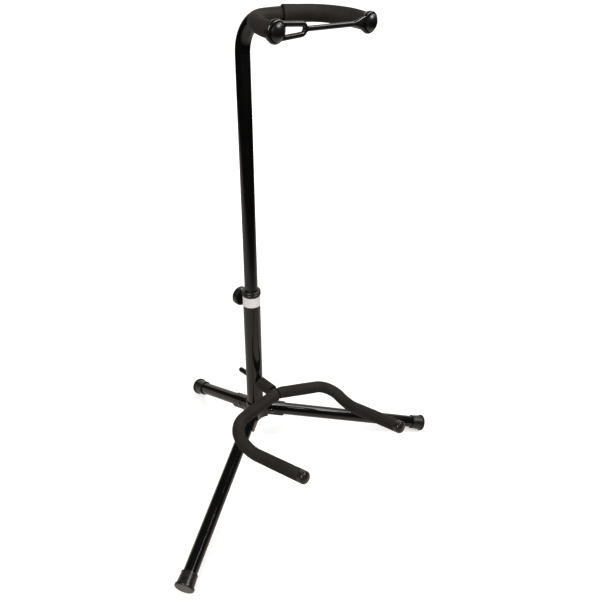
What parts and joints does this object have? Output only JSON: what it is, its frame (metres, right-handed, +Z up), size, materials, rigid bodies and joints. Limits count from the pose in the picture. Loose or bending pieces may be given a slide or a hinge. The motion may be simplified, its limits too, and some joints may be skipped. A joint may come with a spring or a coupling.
{
  "type": "guitar stand",
  "caption": "Tubular floor stand for a guitar: telescopic leaning post on folding tripod legs, padded neck yoke with a rubber strap and a padded body cradle that turns.",
  "frame": {"origin": "on the floor, under the middle of the stand's outline seen from above", "axes": "+Z up, -Y to the front, where the cradle and the yoke point, +X to the right seen from the front"},
  "size_m": [0.4994, 0.3664, 0.6625],
  "materials": {
    "painted_steel": "gloss black",
    "plated_steel": "plain",
    "rubber": "satin black",
    "foam": "matt closed-cell foam",
    "black_plastic": "moulded",
    "gloss_cap": "gloss black",
    "white_label": "bare white"
  },
  "bodies": {
    "base": {"post_lower_tube": "painted_steel", "tripod_hub": "painted_steel", "leg_rivets": "painted_steel", "collar_bush": "black_plastic", "label_band": "white_label", "clamp_nut": "painted_steel"},
    "rear_leg": {"rear_leg": "painted_steel", "rear_foot": "rubber"},
    "left_leg": {"left_leg": "painted_steel", "left_foot": "rubber"},
    "right_leg": {"right_leg": "painted_steel", "right_foot": "rubber"},
    "glide": {"glide_plug": "black_plastic"},
    "yoke": {"upper_post_tube": "painted_steel", "yoke_bar": "plated_steel", "yoke_sleeve_left": "foam", "yoke_sleeve_right": "foam", "yoke_cap_left": "gloss_cap", "yoke_cap_right": "gloss_cap"},
    "strap": {"neck_strap": "rubber"},
    "clamp_screw": {"clamp_screw": "plated_steel"},
    "clamp_knob": {"clamp_knob": "black_plastic"},
    "cradle": {"cradle_stub_rod": "painted_steel", "cradle_bar": "plated_steel", "cradle_sleeve_left": "foam", "cradle_sleeve_right": "foam", "cradle_sleeve_stub": "foam", "cradle_tip_left": "gloss_cap", "cradle_tip_right": "gloss_cap"}
  },
  "joints": [
    {"name": "rear_leg_fold", "type": "hinge", "parent": "base", "child": "rear_leg", "pos_m": [0, 0.05342, 0.06455], "axis": [-1, 0, 0], "range_deg": [0, 74]},
    {"name": "left_leg_fold", "type": "hinge", "parent": "base", "child": "left_leg", "pos_m": [-0.02141, 0.0158, 0.06924], "axis": [0.5165, -0.8497, 0.1058], "range_deg": [0, 74]},
    {"name": "right_leg_fold", "type": "hinge", "parent": "base", "child": "right_leg", "pos_m": [0.02141, 0.0158, 0.06924], "axis": [0.5165, 0.8497, -0.1058], "range_deg": [0, 74]},
    {"name": "height_slide", "type": "slide", "parent": "base", "child": "glide", "axis": [0, 0.1236, 0.9923], "range_m": [-0.04, 0.06]},
    {"name": "yoke_swivel", "type": "hinge", "parent": "glide", "child": "yoke", "pos_m": [0, 0.04186, 0.17399], "axis": [0, 0.1236, 0.9923], "continuous": true},
    {"name": "strap_swing", "type": "hinge", "parent": "yoke", "child": "strap", "pos_m": [0.0682, -0.03862, 0.65034], "axis": [0, -1, -0.0087], "range_deg": [0, 150], "deforming": ["neck_strap"]},
    {"name": "clamp_screw_travel", "type": "slide", "parent": "base", "child": "clamp_screw", "axis": [0, 0.9923, -0.1236], "range_m": [0, 0.002]},
    {"name": "clamp_knob_turn", "type": "hinge", "parent": "clamp_screw", "child": "clamp_knob", "pos_m": [0, 0.07128, 0.25648], "axis": [0, 0.9923, -0.1236], "range_deg": [0, 720]},
    {"name": "cradle_turn", "type": "hinge", "parent": "base", "child": "cradle", "pos_m": [0, 0.03586, 0.12586], "axis": [0, 0.9923, -0.1236], "continuous": true}
  ],
  "couplings": [
    {"joint": "clamp_screw_travel", "follows": "clamp_knob_turn", "m_per_rad": 0.00015915}
  ]
}
